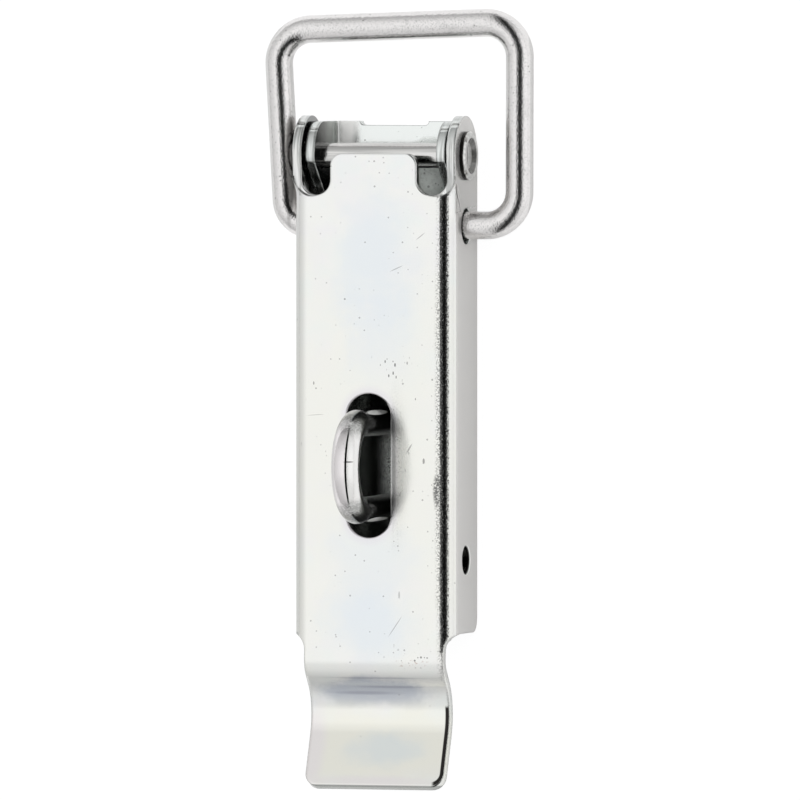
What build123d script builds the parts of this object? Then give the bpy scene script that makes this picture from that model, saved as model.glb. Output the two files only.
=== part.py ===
from build123d import *
import os
from math import radians, tan

# Over centre toggle latch with a padlock staple, lying on its back and closed.
# X runs across, Y along the latch towards the catch, Z out of the mounting surface.
# The origin is on the back of the base plate, straight under the pivot. Millimetres.

# sheet and wire
sheet = 2.0
edge_round = 0.3
bail_wire = 6.1
staple_wire = 6.2

# lever: a channel closed over the base
lever_width = 37.3
lever_front = 20.6
lever_bend = 3.5
ear_radius = 8.8
flange_end = -105.1
flange_corner = 3.2
bail_hole = 8.0
bail_hole_y = -15.5
bail_hole_z = 11.5
side_hole = 6.0
side_hole_y = -89.0
side_hole_z = 11.6
side_hole_chamfer = 0.35

# tongue over the rivet, with a notch on each side of it
tongue_end = 0.55
tongue_half = 9.9
tongue_corner = 2.7
notch_bottom = -8.6
notch_step = 0.2
notch_step_tilt = 5.5
bend_fades_from = -9.0
bend_fades_to = -5.25
bend_ease = 0.8

# slot in the lever and staple on the base, both a little left of centre
staple_x = -1.05
staple_y = -68.1
slot_length = 31.8
slot_width = 10.1

# finger tab: the front surface dips, then flares
tab_half = 15.95
tab_end = -138.7
tab_corner = 3.0
shoulder_radius = 3.6
neck_length = 1.8
dip_start = -112.9
dip_angle = 41.0
dip_radius = 6.0
valley_y = -121.25
valley_radius = 9.7
flare_angle = 22.5

# pivot rivet
rivet_shank = 5.6
pivot_clearance = 0.05
rivet_head = 10.8
rivet_head_height = 1.2
rivet_left_head_height = 0.8
rivet_head_chamfer = 0.35
rivet_end_play = 0.1
dish_top = 8.0
dish_bottom = 6.0
dish_depth = 0.9

# base plate
side_gap = 0.7
base_bend = 3.0
base_top = 7.5
base_rear = -102.0
wall_height = 6.0
wall_corner = 3.0
lug_flank_y = -3.9
lug_flank_z = 16.0
lug_flank_slope = 1.1
lug_flank_round = 1.9
lug_foot_round = 5.0
relief_centre = -0.6
relief_width = 15.6
relief_depth = 0.9
relief_round = 0.85
screw_hole = 5.2
screw_spacing = 16.0
screw_front_y = -26.0
screw_rear_y = -92.0

# padlock staple
staple_half = 9.5
staple_apex = 38.6
tenon = 4.2

# wire bail, slack in its holes and hanging a little to the right: corners of its centre line
bail_foot_y = -15.3
bail_right_foot_x = 30.8
bail_right_top = (30.9, 29.55)
bail_left_top = (-24.8, 27.55)
bail_left_foot_x = -22.45
bail_end_reach = 15.5
bail_bend = 7.5
bail_left_foot_bend = 5.8
bail_end_chamfer = 0.5

lever_half = lever_width / 2
lever_inner = lever_half - sheet
bend_start = lever_half - lever_bend
pivot_z = lever_front - ear_radius
flange_back = pivot_z - ear_radius
base_half = lever_inner - side_gap
tab_start = flange_end - shoulder_radius


def cross_plane(y):
    """Plane facing the finger tab whose own axes are the latch's X and Z."""
    return Plane(origin=(0, y, 0), x_dir=(1, 0, 0), z_dir=(0, -1, 0))


def side_plane(x):
    """Plane facing +X whose own axes are the latch's Y and Z."""
    return Plane(origin=(x, 0, 0), x_dir=(0, 1, 0), z_dir=(1, 0, 0))


def both_sides(right):
    return right + mirror(right, Plane.YZ)


def across_cylinder(y, z, diameter, width):
    """Cylinder along X, centred on the latch."""
    return Pos(0, y, z) * Rot(0, 90, 0) * Cylinder(diameter / 2, width)


def channel_face(y, half, back, front, bend):
    """Cross-section at the given y of a sheet channel that is open at the back."""
    inner_half = half - sheet
    inner_front = front - sheet
    outer = [(-half, back), (-half, front), (half, front), (half, back)]
    inner = [(inner_half, back), (inner_half, inner_front), (-inner_half, inner_front), (-inner_half, back)]
    with BuildSketch(cross_plane(y)) as section:
        with BuildLine():
            FilletPolyline(*outer, radius=bend)
            Line(outer[-1], inner[0])
            FilletPolyline(*inner, radius=max(bend - sheet, edge_round / 2))
            Line(inner[-1], outer[0])
        make_face()
    return section.sketch.face()


def lever_channel():
    """The folded channel: full bends along the flanges, easing out beside the notches."""
    ease_start = bend_fades_from - bend_ease
    eased = channel_face(ease_start, lever_half, flange_back, lever_front, lever_bend)
    full = channel_face(bend_fades_from, lever_half, flange_back, lever_front, lever_bend)
    faded = channel_face(bend_fades_to, lever_half, flange_back, lever_front, edge_round)
    run = extrude(eased, amount=ease_start - tab_start)
    return run + loft([eased, full, faded])


def lever_ears():
    """Flat round ears that carry the pivot."""
    with BuildSketch(side_plane(lever_inner)) as outline:
        with Locations((0, pivot_z)):
            Circle(ear_radius)
        with Locations((bend_fades_to / 2, pivot_z)):
            Rectangle(-bend_fades_to, 2 * ear_radius)
    return both_sides(extrude(outline.sketch, amount=sheet))


def lever_tongue():
    """Tongue between the notches, over the rivet."""
    length = tongue_end - bend_fades_to
    tongue = Box(2 * tongue_half, length, sheet)
    tongue = Pos(0, bend_fades_to + length / 2, lever_front - sheet / 2) * tongue
    corners = tongue.edges().filter_by(Axis.Z).group_by(Axis.Y)[-1]
    return fillet(corners, tongue_corner)


def notch_prism(outer_side, bottom, z, height):
    """One notch from the tongue's side out to the given side, with a half-round bottom."""
    width = outer_side - tongue_half
    radius = width / 2
    with BuildSketch(Plane.XY.offset(z)) as outline:
        with Locations((tongue_half + radius, bottom + radius)):
            Circle(radius)
        with Locations((tongue_half + radius, bottom + radius + 2 * ear_radius)):
            Rectangle(width, 4 * ear_radius)
    return extrude(outline.sketch, amount=height)


def notch_cutter():
    """Notches through the web, and the ears' sheared front edges falling away below it."""
    depth = lever_bend + sheet
    through = notch_prism(lever_inner, notch_bottom, lever_front - depth, 2 * depth)
    step = notch_prism(lever_half, notch_bottom - notch_step, 0, depth)
    step = Pos(0, 0, lever_front - notch_step) * Rot(notch_step_tilt, 0, 0) * step
    return both_sides(through + step)


def shoulder_cutter():
    """What lies outside the tab past the flanges' ends, with a round inner corner."""
    reach = 10.0
    block = Box(reach, reach, 2 * lever_front)
    block = Pos(tab_half + reach / 2, flange_end - reach / 2, lever_front) * block
    corner = block.edges().filter_by(Axis.Z).group_by(Axis.X)[0].sort_by(Axis.Y)[-1]
    return both_sides(fillet(corner, shoulder_radius))


def flange_cutter():
    """Everything past the flanges' ends that is deeper than the bends."""
    depth = 2 * shoulder_radius
    block = Box(2 * lever_width, depth, lever_front)
    return Pos(0, flange_end - depth / 2, lever_front / 2 - lever_bend) * block


def neck_side_face(y, outer_drop, inner_drop):
    """Section of the neck's right side, bent down by the given drops at the tab's edge."""
    inner_front = lever_front - sheet
    with BuildSketch(cross_plane(y)) as section:
        with BuildLine():
            Polyline(
                (bend_start, lever_front),
                (tab_half, lever_front - outer_drop),
                (tab_half, inner_front - inner_drop),
                (bend_start, inner_front),
                close=True,
            )
        make_face()
    return section.sketch.face()


def lever_neck():
    """Where the bends run out into the flat of the tab."""
    reach = tab_half - bend_start
    inner_bend = lever_bend - sheet
    outer_drop = lever_bend - (lever_bend**2 - reach**2) ** 0.5
    inner_drop = inner_bend - (inner_bend**2 - reach**2) ** 0.5
    bent = neck_side_face(tab_start, outer_drop, inner_drop)
    flat = neck_side_face(tab_start - neck_length, 0, 0)
    middle = Box(2 * bend_start, neck_length, sheet)
    middle = Pos(0, tab_start - neck_length / 2, lever_front - sheet / 2) * middle
    return both_sides(loft([bent, flat], ruled=True)) + middle


def finger_tab():
    """Bent strip: down towards the base, through a valley, and out again."""
    valley_depth = (dip_start - valley_y) * tan(radians(dip_angle))
    tip_rise = (valley_y - tab_end) * tan(radians(flare_angle))
    front = [
        (tab_start - neck_length, lever_front),
        (dip_start, lever_front),
        (valley_y, lever_front - valley_depth),
        (tab_end, lever_front - valley_depth + tip_rise),
    ]
    with BuildSketch(side_plane(-tab_half)) as profile:
        with BuildLine():
            bend = FilletPolyline(*front, radius=[dip_radius, valley_radius])
            offset(bend, amount=sheet, side=Side.LEFT)
        make_face()
    strip = extrude(profile.sketch, amount=2 * tab_half)
    end_face = strip.faces().sort_by(Axis.Y)[0]
    corners = [edge for edge in end_face.edges() if abs(edge.length - sheet) < 0.01]
    return fillet(corners, tab_corner)


def lever_slot():
    slot = extrude(SlotOverall(slot_length, slot_width), amount=2 * lever_front)
    return Pos(staple_x, staple_y, lever_front / 2) * Rot(0, 0, 90) * slot


def countersink(y, z, diameter, chamfer_size):
    """Cones that break the outer edges of a hole through both flanges."""
    cone = Cone(diameter / 2, diameter / 2 + chamfer_size, chamfer_size)
    right = Pos(lever_half - chamfer_size / 2, y, z) * Rot(0, 90, 0) * cone
    return both_sides(right)


def make_lever():
    lever = lever_channel() - flange_cutter()
    back_corners = lever.edges().filter_by(Axis.X).group_by(Axis.Z)[0].group_by(Axis.Y)[0]
    lever = fillet(back_corners, flange_corner)
    lever += lever_ears()
    lever -= notch_cutter()
    lever += lever_tongue()
    lever -= shoulder_cutter()
    lever += lever_neck()
    lever += finger_tab()
    lever -= lever_slot()
    lever -= across_cylinder(0, pivot_z, rivet_shank + 2 * pivot_clearance, 2 * lever_width)
    lever -= across_cylinder(bail_hole_y, bail_hole_z, bail_hole, 2 * lever_width)
    lever -= across_cylinder(side_hole_y, side_hole_z, side_hole, 2 * lever_width)
    lever -= countersink(side_hole_y, side_hole_z, side_hole, side_hole_chamfer)
    return lever


def base_channel():
    """Sheet channel with its web on the mounting surface and walls higher than the lugs."""
    section = channel_face(base_top, base_half, -2 * lever_front, 0, base_bend)
    return mirror(extrude(section, amount=base_top - base_rear), Plane.XY)


def base_side():
    """Side view of the base: rounded lugs at the pivot, low walls behind them."""
    lug_front = pivot_z + base_top
    flank_top_y = lug_flank_y + (lug_front - lug_flank_z) / lug_flank_slope
    flank_foot_y = lug_flank_y - (lug_flank_z - wall_height) / lug_flank_slope
    outline = [
        (base_top, 0),
        (base_top, lug_front),
        (flank_top_y, lug_front),
        (flank_foot_y, wall_height),
        (base_rear, wall_height),
        (base_rear, 0),
    ]
    with BuildSketch(side_plane(-base_half)) as profile:
        with BuildLine():
            FilletPolyline(*outline, radius=[base_top, lug_flank_round, lug_foot_round, wall_corner])
            Line(outline[-1], outline[0])
        make_face()
    return extrude(profile.sketch, amount=2 * base_half)


def make_base_plate():
    plate = base_channel() & base_side()
    relief = Box(relief_width, 2 * relief_depth, 2 * sheet)
    relief = fillet(relief.edges().filter_by(Axis.Z).group_by(Axis.Y)[0], relief_round)
    plate -= Pos(relief_centre, base_top, sheet) * relief
    plate -= across_cylinder(0, pivot_z, rivet_shank, 2 * lever_width)
    for y in (screw_front_y, screw_rear_y):
        for x in (-screw_spacing / 2, screw_spacing / 2):
            plate -= Pos(x, y, sheet) * Cylinder(screw_hole / 2, 3 * sheet)
    for y in (staple_y - staple_half, staple_y + staple_half):
        plate -= Pos(staple_x, y, sheet) * Cylinder(tenon / 2, 3 * sheet)
    return plate


def rivet_right_head(seat, height):
    """Head on the right, its base at the given seat, with a chamfered rim."""
    head = Cylinder(rivet_head / 2, height)
    head = chamfer(head.edges().group_by(Axis.Z)[-1], rivet_head_chamfer)
    return Pos(seat + height / 2, 0, pivot_z) * Rot(0, 90, 0) * head


def make_pivot_rivet():
    """Rivet through all four lugs: low flat head on the left, dished head on the right."""
    seat = lever_half + rivet_end_play
    rivet = across_cylinder(0, pivot_z, rivet_shank, 2 * seat)
    rivet += rivet_right_head(seat, rivet_head_height)
    rivet += mirror(rivet_right_head(seat, rivet_left_head_height), Plane.YZ)
    dish = Cone(dish_bottom / 2, dish_top / 2, dish_depth)
    dish = Pos(seat + rivet_head_height - dish_depth / 2, 0, pivot_z) * Rot(0, 90, 0) * dish
    return rivet - dish


def make_padlock_staple():
    """Round wire bent to a U, with turned-down ends that are riveted into the base."""
    crown_z = staple_apex - staple_half
    near_y = staple_y + staple_half
    far_y = staple_y - staple_half
    with BuildLine(side_plane(staple_x)) as path:
        Line((near_y, sheet), (near_y, crown_z))
        ThreePointArc((near_y, crown_z), (staple_y, staple_apex), (far_y, crown_z))
        Line((far_y, crown_z), (far_y, sheet))
    with BuildSketch(Plane(origin=(staple_x, near_y, sheet), z_dir=(0, 0, 1))) as section:
        Circle(staple_wire / 2)
    staple = sweep(section.sketch, path.line)
    for y in (near_y, far_y):
        staple += Pos(staple_x, y, sheet / 2 + 0.5) * Cylinder(tenon / 2, sheet + 1.0)
    return staple


def make_wire_bail():
    """Round wire bent to a wide loop whose ends turn in through the lever's flanges."""
    right_tip_x = bail_right_foot_x - bail_end_reach
    bends = [bail_bend, bail_bend, bail_bend, bail_left_foot_bend]
    with BuildLine(Plane.XY.offset(bail_hole_z)) as path:
        FilletPolyline(
            (right_tip_x, bail_foot_y),
            (bail_right_foot_x, bail_foot_y),
            bail_right_top,
            bail_left_top,
            (bail_left_foot_x, bail_foot_y),
            (bail_left_foot_x + bail_end_reach, bail_foot_y),
            radius=bends,
        )
    with BuildSketch(Plane(origin=(right_tip_x, bail_foot_y, bail_hole_z), z_dir=(1, 0, 0))) as section:
        Circle(bail_wire / 2)
    bail = sweep(section.sketch, path.line)
    tips = bail.faces().filter_by(GeomType.PLANE)
    return chamfer([face.edges()[0] for face in tips], bail_end_chamfer)


os.makedirs("parts", exist_ok=True)
pieces = {
    "base_plate": make_base_plate(),
    "lever": make_lever(),
    "pivot_rivet": make_pivot_rivet(),
    "wire_bail": make_wire_bail(),
    "padlock_staple": make_padlock_staple(),
}
for name, piece in pieces.items():
    piece.label = name
    export_step(piece, f"parts/{name}.step")
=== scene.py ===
from math import cos, pi, radians, sin

import bpy
from mathutils import Matrix, Vector

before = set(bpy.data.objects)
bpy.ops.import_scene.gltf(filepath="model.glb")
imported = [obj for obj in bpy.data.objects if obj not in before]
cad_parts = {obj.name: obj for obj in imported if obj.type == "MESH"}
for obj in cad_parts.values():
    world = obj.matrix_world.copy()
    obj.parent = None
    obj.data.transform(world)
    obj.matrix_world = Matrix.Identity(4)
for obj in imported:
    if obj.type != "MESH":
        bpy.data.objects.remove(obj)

# Over centre toggle latch in bright zinc plate, lying on its back on a white sweep.
# X runs across the latch, Y along it towards the hinge, and Z out of the mounting surface.
# Lengths in the materials are millimetres in the frame of the CAD; everything else is metres.

MM = 0.001

# the photograph's view
IMAGE_WIDTH = 800
PIXELS_PER_MM = 4.55
VIEW_AZIMUTH = 16.5
VIEW_TILT = 1.5
VIEW_TARGET = Vector((6.1, -53.6, 20.6)) * MM
VIEW_DISTANCE = 4.0
SENSOR = 36.0
CLIP_NEAR = 0.1
CLIP_FAR = 20.0

# the latch, in millimetres: half widths, heights over the mounting surface, and features
SHEET = 2.0
LEVER_HALF = 18.65
BASE_HALF = 15.95
FRONT = 20.6
SHOULDER_HEIGHT = 20.0
SLOPE_HEIGHT = 17.0
TAB_HEIGHT = 16.0
BASE_FLOOR = SHEET
EAR_RADIUS = 8.8
PIVOT = (0.0, FRONT - EAR_RADIUS)
DISH_FLOOR = 19.05
SMALL_HOLE = (-89.0, 11.6)
SMALL_HOLE_RADIUS = 3.15
SLOT_CENTRE = (-1.05, -68.1)
SLOT_LENGTH = 31.8
SLOT_WIDTH = 10.1
TAB_HALF = 15.95
TAB_TIP = -138.7
TAB_CORNER_RADIUS = 3.0

# bounds that are out of the way: across and in front, behind the tab, and ahead of the ears
BEYOND = 40.0
PAST_TAB = -200.0
PAST_EARS = 20.0

# how deep marks on the lever's face reach behind it
FILM_DEPTH = 9.0
SPOT_DEPTH = 4.0

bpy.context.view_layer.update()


# ---------------------------------------------------------------- node helpers

class Graph:
    """Short ways to add and join shader nodes."""

    def __init__(self, tree):
        self.tree = tree
        self.tree.nodes.clear()
        self.rounded = None

    def add(self, kind, inputs=None, **settings):
        node = self.tree.nodes.new(kind)
        for key, value in settings.items():
            setattr(node, key, value)
        for key, value in (inputs or {}).items():
            self.feed(node, key, value)
        return node

    def feed(self, node, key, value):
        socket = node.inputs[key]
        if isinstance(value, bpy.types.NodeSocket):
            self.tree.links.new(value, socket)
        else:
            socket.default_value = value

    def math(self, operation, a, b=0.0, clamp=False):
        node = self.add("ShaderNodeMath", {0: a, 1: b}, operation=operation, use_clamp=clamp)
        return node.outputs[0]

    def product(self, first, *others):
        for other in others:
            first = self.math("MULTIPLY", first, other)
        return first

    def vector(self, operation, a, b):
        return self.add("ShaderNodeVectorMath", {0: a, 1: b}, operation=operation).outputs[0]

    def length(self, vector):
        return self.add("ShaderNodeVectorMath", {0: vector}, operation="LENGTH").outputs["Value"]

    def parts(self, vector):
        return self.add("ShaderNodeSeparateXYZ", {0: vector}).outputs

    def millimetres(self):
        """The place on the piece, in millimetres of the frame."""
        place = self.add("ShaderNodeTexCoord").outputs["Object"]
        return self.add("ShaderNodeVectorMath", {0: place, "Scale": 1 / MM}, operation="SCALE").outputs[0]

    def normal(self):
        return self.add("ShaderNodeTexCoord").outputs["Normal"]

    def edge_normal(self):
        """The normal with its edges rounded, in the frame of the piece."""
        turn = {"vector_type": "NORMAL", "convert_from": "WORLD", "convert_to": "OBJECT"}
        return self.add("ShaderNodeVectorTransform", {0: self.rounded}, **turn).outputs[0]

    def smooth(self, value, low, high):
        """0 at low and below, 1 at high and beyond, whichever way round they are."""
        inputs = {"Value": value, "From Min": low, "From Max": high}
        return self.add("ShaderNodeMapRange", inputs, interpolation_type="SMOOTHSTEP").outputs[0]

    def noise(self, vector, scale, detail=2.0, rough=0.5):
        inputs = {"Vector": vector, "Scale": scale, "Detail": detail, "Roughness": rough}
        return self.add("ShaderNodeTexNoise", inputs).outputs["Fac"]

    def mix(self, factor, a, b):
        node = self.add("ShaderNodeMix", {"Factor": factor}, data_type="RGBA")
        for key, value in ((6, a), (7, b)):
            self.feed(node, key, value)
        return node.outputs[2]

    def ramp(self, value, stops):
        """Grey ramp through (place, grey) stops, with places from 0 to 1."""
        node = self.add("ShaderNodeValToRGB", {"Fac": value})
        elements = node.color_ramp.elements
        while len(elements) < len(stops):
            elements.new(0.5)
        for element, (place, grey) in zip(elements, stops):
            element.position = place
            element.color = (grey, grey, grey, 1.0)
        return node.outputs["Color"]


def colour(red, green, blue):
    return (red, green, blue, 1.0)


# ----------------------------------------------------------------------- masks
# Each of these returns a function of a graph and a place in millimetres that builds a 0 to 1 socket.

# cosines over which a face comes to count as square to X, as an edge of the sheet, and as facing up
SQUARE = (0.75, 0.9)
EDGEWISE = (0.7, 0.4)
FACING_UP = (0.3, 0.6)


def patch(centre, size, soft=0.5, wobble=0.9, spin=0.0):
    """A wavy ellipsoid with the given centre and half sizes, turned about Z."""
    def mask(graph, place):
        own_frame = {"Vector": place, "Location": centre, "Rotation": (0.0, 0.0, spin), "Scale": size}
        unit = graph.add("ShaderNodeMapping", own_frame, vector_type="TEXTURE").outputs[0]
        distance = graph.length(unit)
        wave = graph.math("SUBTRACT", graph.noise(place, 0.12, detail=4.0, rough=0.6), 0.5)
        wavy = graph.math("ADD", distance, graph.math("MULTIPLY", wave, wobble))
        return graph.smooth(wavy, 1 + soft, 1 - soft)
    return mask


def film(x, y, half_width, half_length, soft=0.5, wobble=0.9, height=FRONT):
    """A patch on the face of the lever that runs on over its bends."""
    return patch((x, y, height), (half_width, half_length, FILM_DEPTH), soft, wobble)


def spot(x, y, half_width, half_length, soft=0.4, wobble=0.9, height=FRONT, spin=0.0):
    """A patch on the face of the lever that ends within its bends."""
    return patch((x, y, height), (half_width, half_length, SPOT_DEPTH), soft, wobble, spin)


def box(half, front, rear, fore, fade=0.15):
    """A box across the latch: its half width, its front, and its two ends along Y."""
    def mask(graph, place):
        parts = graph.parts(place)
        across = graph.smooth(graph.math("ABSOLUTE", parts["X"]), half + fade, half)
        deep = graph.smooth(parts["Z"], front + fade, front)
        ahead = graph.smooth(parts["Y"], rear - fade, rear)
        behind = graph.smooth(parts["Y"], fore + fade, fore)
        return graph.product(across, deep, ahead, behind)
    return mask


def stretch(rear, fore, fade=0.15):
    """All of the latch between two places along Y."""
    return box(BEYOND, BEYOND, rear, fore, fade)


def below(height, fade):
    """Everything up to a height over the mounting surface, from the tab to the ears."""
    return box(BEYOND, height, PAST_TAB, PAST_EARS, fade)


def walls(face, behind=0.25, past=0.05, fade=0.1):
    """Faces square to X at a distance from the middle, or a little behind or past it, on either side."""
    inner, outer = face - behind, face + past

    def mask(graph, place):
        square = graph.smooth(graph.math("ABSOLUTE", graph.parts(graph.normal())["X"]), *SQUARE)
        away = graph.math("ABSOLUTE", graph.parts(place)["X"])
        within = graph.smooth(away, outer + fade, outer)
        return graph.product(square, graph.smooth(away, inner - fade, inner), within)
    return mask


def ring(axis, inner, outer, fade=0.12):
    """A hollow cylinder along X round an axis given by its Y and Z."""
    def mask(graph, place):
        offset = graph.vector("MULTIPLY", graph.vector("SUBTRACT", place, (0.0, *axis)), (0.0, 1.0, 1.0))
        distance = graph.length(offset)
        near = graph.smooth(distance, outer + fade, outer)
        return graph.product(near, graph.smooth(distance, inner - fade, inner))
    return mask


def sheet_edges(face, behind, fade=0.1):
    """Faces not square to X that lie further out than the given face, less a little, on either side."""
    near = face - behind

    def mask(graph, place):
        away = graph.math("ABSOLUTE", graph.parts(place)["X"])
        lean = graph.math("ABSOLUTE", graph.parts(graph.normal())["X"])
        return graph.product(graph.smooth(away, near - fade, near), graph.smooth(lean, *EDGEWISE))
    return mask


def turned(low, high, fade=0.06, edges=False):
    """Faces whose normal's X is between the two, with or without the rounding of the edges."""
    def mask(graph, place):
        lean = graph.parts(graph.edge_normal() if edges else graph.normal())["X"]
        return graph.product(graph.smooth(lean, low - fade, low), graph.smooth(lean, high + fade, high))
    return mask


def upward():
    """Faces that look out of the mounting surface."""
    def mask(graph, place):
        return graph.smooth(graph.parts(graph.normal())["Z"], *FACING_UP)
    return mask


def slot_halo(reach):
    """A band of the given reach round the lever's slot."""
    radius = SLOT_WIDTH / 2
    straight = (SLOT_LENGTH - SLOT_WIDTH) / 2

    def mask(graph, place):
        parts = graph.parts(graph.vector("SUBTRACT", place, (*SLOT_CENTRE, 0.0)))
        past = graph.math("SUBTRACT", graph.math("ABSOLUTE", parts["Y"]), straight)
        past = graph.math("MAXIMUM", past, 0.0)
        offset = graph.add("ShaderNodeCombineXYZ", {"X": parts["X"], "Y": past}).outputs[0]
        return graph.smooth(graph.length(offset), radius + reach, radius)
    return mask


def tab_rim(near, far, fade=0.1):
    """A band inside the right edge of the finger tab and round its corner.

    It lies between two distances from the edge, and comes in over the tab's neck.
    """
    corner = (TAB_HALF - TAB_CORNER_RADIUS, TAB_TIP + TAB_CORNER_RADIUS, 0.0)
    low, high = TAB_CORNER_RADIUS - far, TAB_CORNER_RADIUS - near
    side_start, side_full = 13.0, 13.8
    neck_start, neck_full = -120.8, -121.6

    def mask(graph, place):
        outward = graph.vector("MULTIPLY", graph.vector("SUBTRACT", place, corner), (1.0, -1.0, 0.0))
        across = graph.length(graph.vector("MAXIMUM", outward, (0.0, 0.0, 0.0)))
        inside = graph.smooth(across, low - fade, low + fade)
        band = graph.product(inside, graph.smooth(across, high + fade, high - fade))
        parts = graph.parts(place)
        aside = graph.smooth(parts["X"], side_start, side_full)
        return graph.product(band, aside, graph.smooth(parts["Y"], neck_start, neck_full))
    return mask


def clouds(scale, low, high, shift=0.0):
    """Soft clouds where the noise is above the two limits."""
    def mask(graph, place):
        moved = graph.vector("ADD", place, (shift, shift, shift))
        return graph.smooth(graph.noise(moved, scale, detail=3.0, rough=0.6), low, high)
    return mask


def streaks(scale, low, high, squeeze=(0.03, 1.0, 1.0)):
    """Tool marks, drawn out along the squeezed directions."""
    def mask(graph, place):
        squeezed = graph.vector("MULTIPLY", place, squeeze)
        return graph.smooth(graph.noise(squeezed, scale), low, high)
    return mask


def pits(scale, size, share, spin=0.0, stretch_along=1.0):
    """Small marks: one in the given share of the cells of a grid with that many cells a millimetre."""
    edge = 0.04

    def mask(graph, place):
        squeeze = (1.0, 1.0 / stretch_along, 1.0)
        mapping = {"Vector": place, "Rotation": (0.0, 0.0, spin), "Scale": squeeze}
        laid = graph.add("ShaderNodeMapping", mapping).outputs[0]
        cells = graph.add("ShaderNodeTexVoronoi", {"Vector": laid, "Scale": scale, "Randomness": 1.0})
        pick = graph.add("ShaderNodeSeparateColor", {0: cells.outputs["Color"]}).outputs
        reach = graph.math("MULTIPLY", pick[1], size * scale)
        near = graph.smooth(graph.math("SUBTRACT", cells.outputs["Distance"], reach), edge, -edge)
        return graph.math("MULTIPLY", near, graph.math("LESS_THAN", pick[0], share))
    return mask


def grit(scale, cover):
    """Fine ragged speckle over about the given share of the surface."""
    low = 0.66 - 0.3 * cover
    high = 0.72 - 0.3 * cover

    def mask(graph, place):
        return graph.smooth(graph.noise(place, scale, rough=0.7), low, high)
    return mask


def both(*masks):
    """Where all the masks overlap."""
    def mask(graph, place):
        return graph.product(*[single(graph, place) for single in masks])
    return mask


# --------------------------------------------------------------------- colours

ZINC = colour(0.89, 0.895, 0.875)
BASE_ZINC = colour(0.86, 0.89, 0.875)
RIVET_ZINC = colour(0.76, 0.755, 0.74)
BAIL_ZINC = colour(0.84, 0.825, 0.82)
STAPLE_ZINC = colour(0.88, 0.875, 0.86)
# painted shade: the staple's faces that do not face +X are a little darker and pinker
STAPLE_SIDE_SHADE = colour(0.86, 0.83, 0.835)
# painted shade: the lever's side flanges are darker than its face
FLANGE_SHADE = colour(0.70, 0.69, 0.675)
BLUE_FILM = colour(0.79, 0.84, 0.885)
YELLOW_FILM = colour(0.89, 0.89, 0.83)
PINK_FILM = colour(0.86, 0.83, 0.83)
LILAC_FILM = colour(0.87, 0.86, 0.89)
GREEN_FILM = colour(0.85, 0.895, 0.88)
WARM_FILM = colour(0.89, 0.885, 0.80)
TEAL_FILM = colour(0.78, 0.825, 0.82)
# painted shade for the die-rolled dip round the slot, which is not modelled
SLOT_ROLL_SHADE = colour(0.80, 0.78, 0.82)
# painted shade on the finger tab's dip
TAB_DIP_SHADE = colour(0.55, 0.585, 0.65)
# dark blue-grey for thin bands across the tab's dip
DARK_BLUE_GREY = colour(0.30, 0.31, 0.38)
PALE_BLOOM = colour(0.84, 0.89, 0.85)
# white for a painted bright reflection
WHITE_PAINTED_LIGHT = colour(0.98, 0.98, 0.96)
RUST = colour(0.52, 0.38, 0.32)
# dark grey for dull sheared edges, tool streaks and grain, and for painted shade on bends, edges, the
# channel's inside, the wires' sides and the staple
DULL_AND_SHADE = colour(0.30, 0.31, 0.30)
# near black for specks, pits and scratches, and for speckled painted shade on the lever's right bend and
# beside the slot
SPECK_AND_SHADE = colour(0.10, 0.10, 0.10)
# near black, used only for painted shade: gaps, bores, inner faces, hollows and dark reflections
PAINTED_SHADE = colour(0.03, 0.028, 0.026)


# ----------------------------------------------------------- the zinc material

BEVEL_SAMPLES = 8
SKIN_DEPTH = 0.02
GLOSS_SWING = 0.08


def crest(middle, flat, reach, height):
    """A soft crest along Y: its place across, the half width of its top, and how far and high it goes."""
    def shape(graph, place):
        aside = graph.math("ABSOLUTE", graph.math("SUBTRACT", graph.parts(place)["X"], middle))
        aside = graph.math("MAXIMUM", graph.math("SUBTRACT", aside, flat), 0.0)
        slope = graph.math("SUBTRACT", 1.0, graph.math("DIVIDE", aside, reach), clamp=True)
        return graph.math("MULTIPLY", graph.math("POWER", slope, 2.0), height)
    return shape


def rounded_edges(graph, place, radius, wide_edge):
    """The normal with edges rounded to the radius, or to that of wide_edge where its mask is."""
    reach = radius * MM
    if wide_edge:
        mask, wide_radius = wide_edge
        wider = graph.math("MULTIPLY", mask(graph, place), (wide_radius - radius) * MM)
        reach = graph.math("ADD", reach, wider)
    return graph.add("ShaderNodeBevel", {"Radius": reach}, samples=BEVEL_SAMPLES).outputs[0]


def skin_height(graph, place, grain, bend_grain, ridge):
    """Fine grain all over, a coarser one on the bends that face right, and the ridge."""
    height = graph.math("MULTIPLY", graph.noise(place, 2.4, rough=0.6), grain)
    if bend_grain:
        bent = turned(0.05, 0.9)(graph, place)
        coarse = graph.math("MULTIPLY", graph.noise(place, 2.0, detail=3.0, rough=0.7), bend_grain)
        height = graph.math("ADD", height, graph.math("MULTIPLY", coarse, bent))
    if ridge:
        height = graph.math("ADD", height, ridge(graph, place))
    return height


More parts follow.
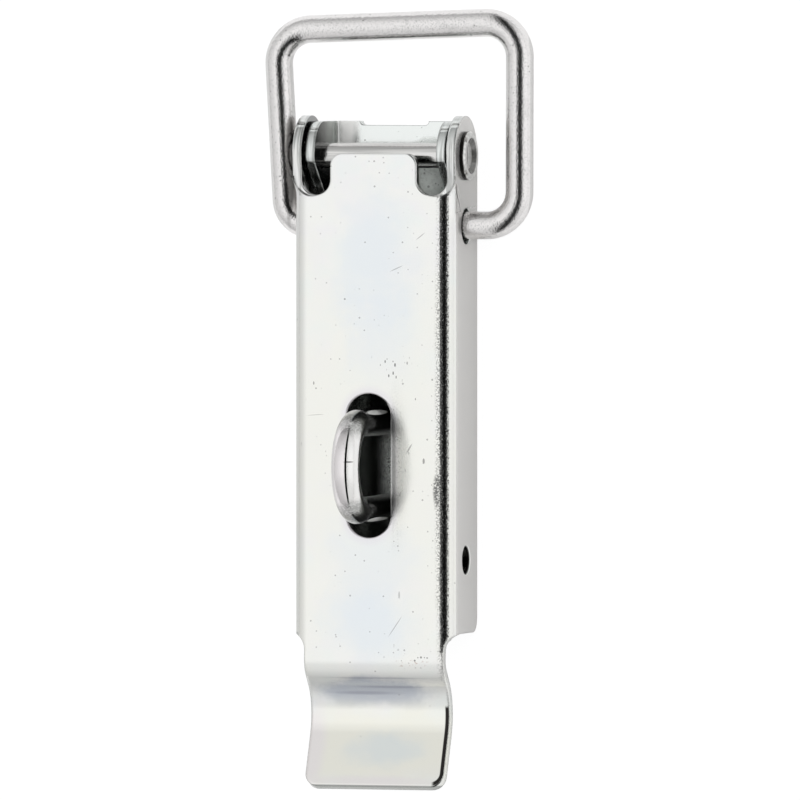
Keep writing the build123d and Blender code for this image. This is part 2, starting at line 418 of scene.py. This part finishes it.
def zinc_material(
    name, tint, roughness, grain, edge=0.0, wide_edge=None, bend_grain=0.0, ridge=None,
    stains_and_painted_light=(), satin=(), bloom=(),
):
    """Bright zinc plate: clouded gloss, specks, films and rust with painted light and shade, rounded
    edges and a grainy skin.

    edge is the radius of the edges, and wide_edge is (mask, radius).
    stains_and_painted_light are (mask, colour, strength), one over the other, for real marks and for
    painted light and shade.
    satin is (mask, added roughness) and bloom is (mask, share without shine).
    """
    material = bpy.data.materials.new(name)
    material.use_nodes = True
    graph = Graph(material.node_tree)
    place = graph.millimetres()
    if edge:
        graph.rounded = rounded_edges(graph, place, edge, wide_edge)

    base = tint
    for mask, paint_colour, strength in stains_and_painted_light:
        base = graph.mix(graph.math("MULTIPLY", mask(graph, place), strength), base, paint_colour)

    height = skin_height(graph, place, grain, bend_grain, ridge)
    bump = graph.add("ShaderNodeBump", {"Strength": 1.0, "Distance": SKIN_DEPTH * MM, "Height": height})
    if edge:
        graph.feed(bump, "Normal", graph.rounded)

    gloss = graph.math("MULTIPLY", graph.noise(place, 0.07, detail=4.0, rough=0.6), GLOSS_SWING)
    gloss = graph.math("ADD", gloss, roughness - GLOSS_SWING / 2)
    for mask, amount in satin:
        gloss = graph.math("ADD", gloss, graph.math("MULTIPLY", mask(graph, place), amount), clamp=True)
    metallic = 1.0
    for mask, share in bloom:
        lost = graph.math("MULTIPLY", mask(graph, place), share)
        metallic = graph.math("SUBTRACT", metallic, lost, clamp=True)
    shader = graph.add(
        "ShaderNodeBsdfPrincipled",
        {"Base Color": base, "Metallic": metallic, "Roughness": gloss, "Normal": bump.outputs[0]},
    )
    graph.add("ShaderNodeOutputMaterial", {"Surface": shader.outputs[0]})
    return material


def dress(node, material):
    """Gives a node of the frame its material."""
    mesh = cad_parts[node].data
    mesh.materials.clear()
    mesh.materials.append(material)


# kinds of small marks
FINE_SPECKS = pits(0.9, 0.22, 0.30)
LONE_PITS = pits(0.45, 0.24, 0.14)
DENSE_PITS = pits(1.3, 0.30, 0.45)
DASHES = pits(0.8, 0.26, 0.45, spin=-0.5, stretch_along=2.4)
TICKS = pits(1.5, 0.17, 0.7, spin=-0.9, stretch_along=2.8)
SHEAR_MARKS = streaks(1.7, 0.40, 0.62, squeeze=(1.0, 0.06, 0.06))


# ------------------------------------------------------------------- the lever

LEVER_WEB = both(upward(), box(15.0, BEYOND, -112.0, PAST_EARS))
WEB_LENGTH = stretch(-109.0, PAST_EARS)
TAB_LENGTH = stretch(PAST_TAB, -113.0, 2.0)
TAB_END = stretch(PAST_TAB, TAB_TIP + 0.2, 0.2)
TAB_LEFT_EDGE = both(turned(-1.0, -0.75, 0.15, edges=True), stretch(PAST_TAB, -105.0))
LEFT_BEND = both(turned(-0.95, -0.62, 0.05), WEB_LENGTH)
RIGHT_BEND = both(turned(0.05, 0.54, 0.045), WEB_LENGTH, grit(2.8, 0.5))
RIGHT_BEND_CORE = both(turned(0.10, 0.40, 0.08), WEB_LENGTH, grit(3.4, 0.9))
FLANGE = walls(LEVER_HALF)
FLANGE_BEHIND_EARS = both(FLANGE, stretch(PAST_TAB, -20.0, 14.0))
SMALL_HOLE_BORE = both(box(18.35, 18.0, -95.0, -83.0), ring(SMALL_HOLE, 0.0, SMALL_HOLE_RADIUS))
CHANNEL_ROOF = box(LEVER_HALF - SHEET + 0.1, FRONT - SHEET + 0.05, -104.8, -14.0, 1.5)
CHANNEL_SIDES = box(LEVER_HALF - 0.2, 16.9, -104.8, -10.0)
EAR_INSIDE = both(walls(LEVER_HALF - SHEET, past=0.15), stretch(-14.0, PAST_EARS, 6.0))
EAR_EDGES = both(sheet_edges(LEVER_HALF - SHEET, behind=0.25), stretch(-8.6, PAST_EARS, 0.3))
EAR_CREASE = both(
    ring((-1.64, 2.89), 16.72, 16.90, 0.08),
    patch((18.3, -9.2, 17.6), (1.2, 3.9, 3.0), 0.2, 0.0),
)
SLOT_GLINT = patch((3.98, -68.3, 20.4), (0.16, 10.5, 0.5), 0.3, 0.2)


def scratch(x, y, length, width, slant):
    """A dark nick in the face of the lever: its middle, size and slant."""
    return (spot(x, y, width / 2, length / 2, 0.3, 0.3, spin=slant), SPECK_AND_SHADE, 0.42)


LEVER_STAINS_AND_PAINTED_LIGHT = [
    # films of colour over the web, then over the tab, with painted shade and thin dark blue-grey bands
    # across the tab's dip
    (clouds(0.10, 0.45, 0.65), LILAC_FILM, 0.6),
    (clouds(0.09, 0.48, 0.66, shift=40.0), GREEN_FILM, 0.6),
    (film(0.0, -70.0, 30.0, 48.0, 0.7, 1.8), YELLOW_FILM, 0.7),
    (film(0.5, -24.0, 7.5, 12.5, 0.8, 2.8), BLUE_FILM, 0.75),
    (film(2.0, -41.0, 6.0, 8.0, 0.8, 2.0), BLUE_FILM, 0.4),
    (film(-1.0, -90.0, 8.0, 9.0, 0.8, 2.0), BLUE_FILM, 0.5),
    (film(-1.0, -103.0, 8.0, 8.0, 0.8, 2.0), BLUE_FILM, 0.8),
    # painted shade over the tab's dip
    (film(-1.0, -117.9, 12.5, 3.1, 0.4, 1.6, SLOPE_HEIGHT), TAB_DIP_SHADE, 0.9),
    (film(0.5, -114.9, 11.0, 0.22, 0.5, 0.9, SLOPE_HEIGHT), DARK_BLUE_GREY, 0.35),
    (film(3.5, -116.9, 6.5, 0.25, 0.6, 1.2, SLOPE_HEIGHT), DARK_BLUE_GREY, 0.4),
    (film(-3.0, -118.3, 6.0, 0.35, 0.7, 1.6, SLOPE_HEIGHT), DARK_BLUE_GREY, 0.5),
    (film(0.0, -131.0, 30.0, 9.0, height=TAB_HEIGHT), WARM_FILM, 0.9),
    (film(-15.5, -131.0, 3.0, 9.0, height=TAB_HEIGHT), PINK_FILM, 0.9),
    (film(0.0, -137.6, 14.0, 1.2, height=TAB_HEIGHT), PINK_FILM, 0.8),
    (film(2.0, -130.8, 7.5, 3.4, 0.6, 1.8, TAB_HEIGHT), TEAL_FILM, 0.9),
    # painted shade round the slot, for its unmodelled die-rolled dip
    (slot_halo(2.4), SLOT_ROLL_SHADE, 0.75),
    # painted shade on the side flanges
    (FLANGE, FLANGE_SHADE, 1.0),
    # specks, pits and scratches
    (both(LEVER_WEB, FINE_SPECKS), SPECK_AND_SHADE, 0.45),
    (LONE_PITS, SPECK_AND_SHADE, 0.6),
    (both(spot(4.3, -45.4, 3.8, 4.2, 0.3), TICKS), SPECK_AND_SHADE, 0.9),
    (both(spot(8.2, -53.8, 2.0, 2.4, 0.3), TICKS), SPECK_AND_SHADE, 0.9),
    (both(spot(9.5, -110.5, 6.0, 2.0), DENSE_PITS), SPECK_AND_SHADE, 0.7),
    (both(spot(-15.0, -55.0, 2.0, 9.0), DASHES), SPECK_AND_SHADE, 0.6),
    (both(spot(9.0, -66.0, 5.0, 9.0), DASHES), SPECK_AND_SHADE, 0.6),
    (both(spot(14.6, -73.3, 0.8, 3.4), grit(2.4, 0.8)), SPECK_AND_SHADE, 0.8),
    # speckled painted shade along the inner edge of the right bend's dark band
    (both(spot(15.5, -58.0, 1.2, 56.0, 0.5, 0.5), grit(3.0, 0.55)), SPECK_AND_SHADE, 0.7),
    (both(spot(8.6, -111.5, 3.6, 0.9, height=SHOULDER_HEIGHT), grit(1.5, 0.22)), RUST, 0.6),
    (both(spot(-6.0, -116.6, 2.2, 0.5, height=SLOPE_HEIGHT), DENSE_PITS), SPECK_AND_SHADE, 0.8),
    scratch(5.3, -24.7, 3.0, 0.22, -1.15),
    scratch(10.8, -17.6, 2.4, 0.22, -0.9),
    scratch(5.9, -96.5, 1.6, 0.35, 0.0),
    scratch(5.0, -103.4, 5.0, 0.2, -0.6),
    scratch(-13.3, -57.0, 3.6, 0.12, -1.5),
    scratch(8.2, -64.3, 2.4, 0.35, -0.55),
    # the slot's right side: a speckled painted reflection of the staple, painted shade beside the edge,
    # and a painted highlight along the edge
    (both(spot(5.0, -68.0, 1.7, 12.5, 0.6), grit(3.6, 0.35)), SPECK_AND_SHADE, 0.5),
    (spot(4.5, -68.3, 0.6, 10.5, 0.5, 0.5), DULL_AND_SHADE, 0.65),
    (SLOT_GLINT, ZINC, 1.0),
    # bends and edges, in painted shade: speckled dark on the right bend, black inside the tab's right
    # edge, and darker on the left bend, the tab's left edge and its end
    (RIGHT_BEND, SPECK_AND_SHADE, 0.9),
    (RIGHT_BEND_CORE, SPECK_AND_SHADE, 0.85),
    (tab_rim(0.3, 1.1), PAINTED_SHADE, 1.0),
    (LEFT_BEND, DULL_AND_SHADE, 0.4),
    (TAB_LEFT_EDGE, DULL_AND_SHADE, 0.65),
    (TAB_END, DULL_AND_SHADE, 0.85),
    # the inside of the channel, the ears and the small hole: painted shade inside the channel, on the
    # ears' inner faces, in the crease by the right ear and in the small hole's bore, and dull shear marks
    # on the ears' edges
    (CHANNEL_ROOF, DULL_AND_SHADE, 0.8),
    (CHANNEL_SIDES, DULL_AND_SHADE, 0.7),
    (EAR_INSIDE, PAINTED_SHADE, 0.7),
    (EAR_CREASE, PAINTED_SHADE, 0.9),
    (EAR_EDGES, DULL_AND_SHADE, 0.15),
    (both(EAR_EDGES, SHEAR_MARKS), DULL_AND_SHADE, 0.6),
    (SMALL_HOLE_BORE, PAINTED_SHADE, 1.0),
]
LEVER_SATIN = [
    (spot(5.5, -68.0, 2.5, 13.0, 0.8), 0.2),
    (FLANGE, 0.12),
    (FLANGE_BEHIND_EARS, 0.13),
]
LEVER_BLOOM = [
    (SLOT_GLINT, 1.0),
    (FLANGE, 0.33),
]
dress("lever", zinc_material(
    "zinc_lever", ZINC, roughness=0.10, grain=0.15, edge=0.7, wide_edge=(TAB_LENGTH, 1.0), bend_grain=3.5,
    stains_and_painted_light=LEVER_STAINS_AND_PAINTED_LIGHT, satin=LEVER_SATIN, bloom=LEVER_BLOOM,
))


# -------------------------------------------------------------- the base plate

INSIDE_WALLS = walls(BASE_HALF - SHEET, behind=0.15)
OUTSIDE_WALLS = walls(BASE_HALF, behind=0.15)
NEAR_LUGS = stretch(-20.0, PAST_EARS, 10.0)
LUG_EDGES = both(sheet_edges(BASE_HALF - SHEET, behind=0.15), ring(PIVOT, 7.1, 7.9))
FLOOR_UNDER_LEVER = both(upward(), box(13.0, BASE_FLOOR + 0.3, -98.0, -12.0, 3.0))
PAINTED_LIGHT_UNDER_SLOT = patch((-0.8, -68.5, BASE_FLOOR), (2.6, 10.0, 2.0), 0.7)
NOTCH_FLOOR = patch((8.5, -4.0, BASE_FLOOR), (6.0, 7.0, 2.0), 0.3)
WEB_CORNER = both(upward(), patch((-11.6, 8.0, BASE_FLOOR), (2.4, 9.0, 1.5), 0.5))
LEFT_WALL_FOOT = both(INSIDE_WALLS, patch((-14.0, 8.0, BASE_FLOOR), (2.0, 9.0, 8.5), 0.6))

BASE_STAINS_AND_PAINTED_LIGHT = [
    # painted shade on the floor under the lever
    (FLOOR_UNDER_LEVER, PAINTED_SHADE, 0.68),
    # painted light: pale speckles lift the painted shade where light falls through the slot
    (both(PAINTED_LIGHT_UNDER_SLOT, grit(3.6, 0.7)), PALE_BLOOM, 1.0),
    (NOTCH_FLOOR, PALE_BLOOM, 1.0),
    (both(NOTCH_FLOOR, clouds(0.9, 0.45, 0.7)), SPECK_AND_SHADE, 0.2),
    (both(NOTCH_FLOOR, DENSE_PITS), SPECK_AND_SHADE, 0.5),
    (LUG_EDGES, DULL_AND_SHADE, 0.15),
    (both(LUG_EDGES, SHEAR_MARKS), DULL_AND_SHADE, 0.6),
    (FINE_SPECKS, SPECK_AND_SHADE, 0.6),
    # painted shade on the inside walls beside the ears
    (both(INSIDE_WALLS, NEAR_LUGS), PAINTED_SHADE, 0.98),
    # the painted shade on the left inside wall is half lifted near its foot
    (LEFT_WALL_FOOT, PALE_BLOOM, 0.5),
    # painted light: a matt white patch in the web's corner stands in for a bright reflection
    (WEB_CORNER, WHITE_PAINTED_LIGHT, 1.0),
    # painted shade on the outside walls beside the ears
    (both(OUTSIDE_WALLS, NEAR_LUGS), PAINTED_SHADE, 0.9),
]
BASE_SATIN = [
    (NOTCH_FLOOR, 0.4),
]
BASE_BLOOM = [
    (WEB_CORNER, 1.0),
    (NOTCH_FLOOR, 1.0),
    (PAINTED_LIGHT_UNDER_SLOT, 1.0),
]
dress("base_plate", zinc_material(
    "zinc_base", BASE_ZINC, roughness=0.12, grain=0.3, edge=0.5,
    stains_and_painted_light=BASE_STAINS_AND_PAINTED_LIGHT, satin=BASE_SATIN, bloom=BASE_BLOOM,
))


# -------------------------------------------------------------- the pivot rivet

HEAD_SEAM = both(box(19.4, BEYOND, -20.0, PAST_EARS, 0.05), ring(PIVOT, 4.4, 6.0))
HEAD_RING = both(ring(PIVOT, 3.0, 3.95), walls(DISH_FLOOR, past=BEYOND))
DISH_SLOPE = ring(PIVOT, 3.05, 3.9)
DISH = both(walls(DISH_FLOOR, behind=0.05, past=BEYOND), ring(PIVOT, 0.0, 2.9))
DISH_STREAK = patch((19.6, 0.4, 12.0), (2.0, 2.0, 0.45), 0.3, 1.2)

RIVET_STAINS_AND_SHADE = [
    (streaks(1.6, 0.42, 0.62), DULL_AND_SHADE, 0.35),
    # painted shade: the seam under the head, a ring at the dish's edge, the dish's sloping wall, and a
    # dark streak of painted reflection across the dish
    (HEAD_SEAM, PAINTED_SHADE, 1.0),
    (HEAD_RING, PAINTED_SHADE, 0.8),
    (DISH_SLOPE, PAINTED_SHADE, 0.75),
    (DISH_STREAK, PAINTED_SHADE, 0.7),
    (FINE_SPECKS, SPECK_AND_SHADE, 0.5),
]
RIVET_BLOOM = [
    (DISH, 0.6),
]
dress("pivot_rivet", zinc_material(
    "zinc_rivet", RIVET_ZINC, roughness=0.14, grain=0.6, stains_and_painted_light=RIVET_STAINS_AND_SHADE, bloom=RIVET_BLOOM,
))


# --------------------------------------------------------------- the wire bail

BAIL_LEFT_SIDES = turned(-1.2, -0.6, 0.12)
BAIL_RIGHT_SIDES = turned(0.93, 1.2, 0.05)
LEFT_LEG_INSIDE = patch((-21.2, -2.5, 13.5), (0.9, 11.0, 2.5), 0.3)

BAIL_STAINS_AND_SHADE = [
    # painted shade on the wire's sides that face left and right
    (BAIL_LEFT_SIDES, DULL_AND_SHADE, 0.3),
    (BAIL_RIGHT_SIDES, DULL_AND_SHADE, 0.3),
    (grit(2.4, 0.3), DULL_AND_SHADE, 0.22),
    (clouds(0.25, 0.5, 0.7), DULL_AND_SHADE, 0.12),
    (FINE_SPECKS, SPECK_AND_SHADE, 0.6),
    (LONE_PITS, SPECK_AND_SHADE, 0.6),
    # painted shade on the inside of the left leg beside the ears
    (LEFT_LEG_INSIDE, PAINTED_SHADE, 0.75),
]
dress("wire_bail", zinc_material(
    "zinc_bail", BAIL_ZINC, roughness=0.14, grain=3.0, stains_and_painted_light=BAIL_STAINS_AND_SHADE,
))


# ---------------------------------------------------------- the padlock staple

STAPLE_LEFT = turned(-1.0, 0.15)
STAPLE_LEFT_RIM = turned(-1.0, -0.75, 0.25)
STAPLE_RIGHT = turned(0.15, 1.0, 0.1)
CROWN_LINE = patch((-0.2, -67.9, 41.5), (0.16, 9.2, 3.0), 0.5, 0.3)
CROWN_NICK = patch((0.35, -66.7, 41.0), (0.95, 0.15, 3.0), 0.3)
CROWN_ENDS = [patch((0.2, y, 33.5), (4.2, 3.0, 7.0), 0.45) for y in (-58.1, -78.1)]
LEG_GLINTS = [patch((1.2, y, 21.0), (1.5, 0.55, 8.0), 0.2, 0.3) for y in (-56.3, -79.9)]

STAPLE_STAINS_AND_PAINTED_LIGHT = [
    # painted shade: the staple darker on its faces that do not face +X, on its left rim, on its right
    # side low down, inside the lever, along the crown's ridge and at the crown's ends
    (STAPLE_LEFT, STAPLE_SIDE_SHADE, 1.0),
    (STAPLE_LEFT_RIM, DULL_AND_SHADE, 0.45),
    (both(STAPLE_RIGHT, below(31.0, 4.0)), DULL_AND_SHADE, 0.75),
    (both(STAPLE_RIGHT, below(34.0, 4.0), grit(2.4, 0.5)), PAINTED_SHADE, 0.6),
    (below(15.0, 10.0), PAINTED_SHADE, 0.6),
    (CROWN_LINE, PAINTED_SHADE, 0.95),
    (CROWN_NICK, SPECK_AND_SHADE, 0.9),
    *[(both(end, grit(2.2, 0.75)), PAINTED_SHADE, 0.5) for end in CROWN_ENDS],
    *[(end, DULL_AND_SHADE, 0.55) for end in CROWN_ENDS],
    # painted highlights on the legs' outer sides
    *[(glint, ZINC, 1.0) for glint in LEG_GLINTS],
    (FINE_SPECKS, SPECK_AND_SHADE, 0.5),
]
STAPLE_BLOOM = [(glint, 1.0) for glint in LEG_GLINTS]
dress("padlock_staple", zinc_material(
    "zinc_staple", STAPLE_ZINC, roughness=0.14, grain=1.5, ridge=crest(-0.17, 0.2, 1.6, 6.4),
    stains_and_painted_light=STAPLE_STAINS_AND_PAINTED_LIGHT, bloom=STAPLE_BLOOM,
))


# ------------------------------------------------------------ floor and studio

FLOOR_SIZE = 6.0
FLOOR_GAP = 0.1
FLOOR_WHITE = 0.92
FLOOR_GLOW = 1.06
GLOW_TO_CAMERA = 0.9
GLOW_TO_MIRRORS = 0.2


def white_sweep():
    """Floor that is white to the camera and keeps a faint shadow of the latch."""
    bpy.ops.mesh.primitive_plane_add(size=FLOOR_SIZE, location=(0, 0, -FLOOR_GAP * MM))
    floor = bpy.context.object
    floor.name = "floor"
    material = bpy.data.materials.new("white_sweep")
    material.use_nodes = True
    graph = Graph(material.node_tree)
    path = graph.add("ShaderNodeLightPath").outputs
    matt = graph.add("ShaderNodeBsdfDiffuse", {"Color": colour(FLOOR_WHITE, FLOOR_WHITE, FLOOR_WHITE)})
    glow = graph.add("ShaderNodeEmission", {"Color": colour(1.0, 1.0, 1.0), "Strength": FLOOR_GLOW})
    seen = graph.math("MULTIPLY", path["Is Camera Ray"], GLOW_TO_CAMERA)
    mirrored = graph.math("ADD", path["Is Glossy Ray"], path["Is Transmission Ray"])
    seen = graph.math("ADD", seen, graph.math("MULTIPLY", mirrored, GLOW_TO_MIRRORS), clamp=True)
    surface = graph.add("ShaderNodeMixShader", {0: seen, 1: matt.outputs[0], 2: glow.outputs[0]})
    graph.add("ShaderNodeOutputMaterial", {"Surface": surface.outputs[0]})
    floor.data.materials.append(material)


# what the metal mirrors: (degrees from straight above towards +X, brightness)
TENT_AROUND = [
    (-180, 0.58), (-107, 0.62), (-89, 0.66), (-70, 0.73), (-52, 0.80), (-36, 0.91), (-24, 0.99),
    (-12, 0.99), (-7, 0.80), (-2, 0.18), (3, 0.02), (31, 0.02), (36, 0.22), (42, 0.66),
    (50, 0.93), (60, 1.02), (76, 1.02), (90, 0.90), (180, 0.80),
]
# and how it fades along Y: (degrees towards +Y, factor)
TENT_ALONG = [
    (-90, 0.80), (-75, 0.76), (-62, 0.75), (-43, 0.80), (-28, 0.84), (-21, 0.90), (-13, 1.0),
    (17, 1.0), (26, 0.94), (34, 0.88), (43, 0.80), (54, 0.68), (70, 0.62), (90, 0.56),
]


def light_tent():
    """Pale tent with a brighter panel on each side of a dark gap where the camera stands."""
    world = bpy.data.worlds.new("light_tent")
    world.use_nodes = True
    bpy.context.scene.world = world
    graph = Graph(world.node_tree)
    parts = graph.parts(graph.add("ShaderNodeTexCoord").outputs["Generated"])
    turn = graph.math("DIVIDE", graph.math("ARCTAN2", parts["X"], parts["Z"]), 2 * pi)
    rise = graph.math("DIVIDE", graph.math("ARCSINE", parts["Y"]), pi)
    around = [(angle / 360 + 0.5, grey) for angle, grey in TENT_AROUND]
    along = [(angle / 180 + 0.5, grey) for angle, grey in TENT_ALONG]
    panels = graph.ramp(graph.math("ADD", turn, 0.5), around)
    fade = graph.ramp(graph.math("ADD", rise, 0.5), along)
    both_ways = {"Factor": 1.0, 6: panels, 7: fade}
    glow = graph.add("ShaderNodeMix", both_ways, data_type="RGBA", blend_type="MULTIPLY")
    background = graph.add("ShaderNodeBackground", {"Color": glow.outputs[2], "Strength": 1.0})
    graph.add("ShaderNodeOutputWorld", {"Surface": background.outputs[0]})


def from_angles(azimuth, tilt):
    """Direction that leaves +Z by the azimuth towards +X and by the tilt towards +Y."""
    turn, rise = radians(azimuth), radians(tilt)
    return Vector((sin(turn) * cos(rise), sin(rise), cos(turn) * cos(rise)))


def softbox(name, azimuth, tilt, distance, side, watts):
    """Square lamp aimed at the latch from a direction given as the view's is."""
    lamp = bpy.data.lights.new(name, "AREA")
    lamp.shape = "SQUARE"
    lamp.size = side
    lamp.energy = watts
    light = bpy.data.objects.new(name, lamp)
    bpy.context.scene.collection.objects.link(light)
    back = from_angles(azimuth, tilt)
    light.location = VIEW_TARGET + back * distance
    light.rotation_euler = back.to_track_quat("Z", "Y").to_euler()
    light.visible_glossy = False


def photo_camera():
    """Camera at the photograph's angle and scale, far enough back to look nearly flat."""
    data = bpy.data.cameras.new("camera")
    camera = bpy.data.objects.new("camera", data)
    bpy.context.scene.collection.objects.link(camera)
    back = from_angles(VIEW_AZIMUTH, VIEW_TILT)
    right = Vector((0, 1, 0)).cross(back).normalized()
    up = back.cross(right)
    turn = Matrix((right, up, back)).transposed().to_4x4()
    camera.matrix_world = Matrix.Translation(VIEW_TARGET + back * VIEW_DISTANCE) @ turn
    data.sensor_width = SENSOR
    data.lens = SENSOR * VIEW_DISTANCE / (IMAGE_WIDTH / PIXELS_PER_MM * MM)
    data.clip_start = CLIP_NEAR
    data.clip_end = CLIP_FAR
    bpy.context.scene.camera = camera


white_sweep()
light_tent()
softbox("softbox_left", azimuth=-40, tilt=25, distance=1.2, side=0.9, watts=6.0)
softbox("softbox_front", azimuth=20, tilt=8, distance=1.2, side=0.4, watts=4.0)
photo_camera()
bpy.context.scene.view_settings.view_transform = "Standard"
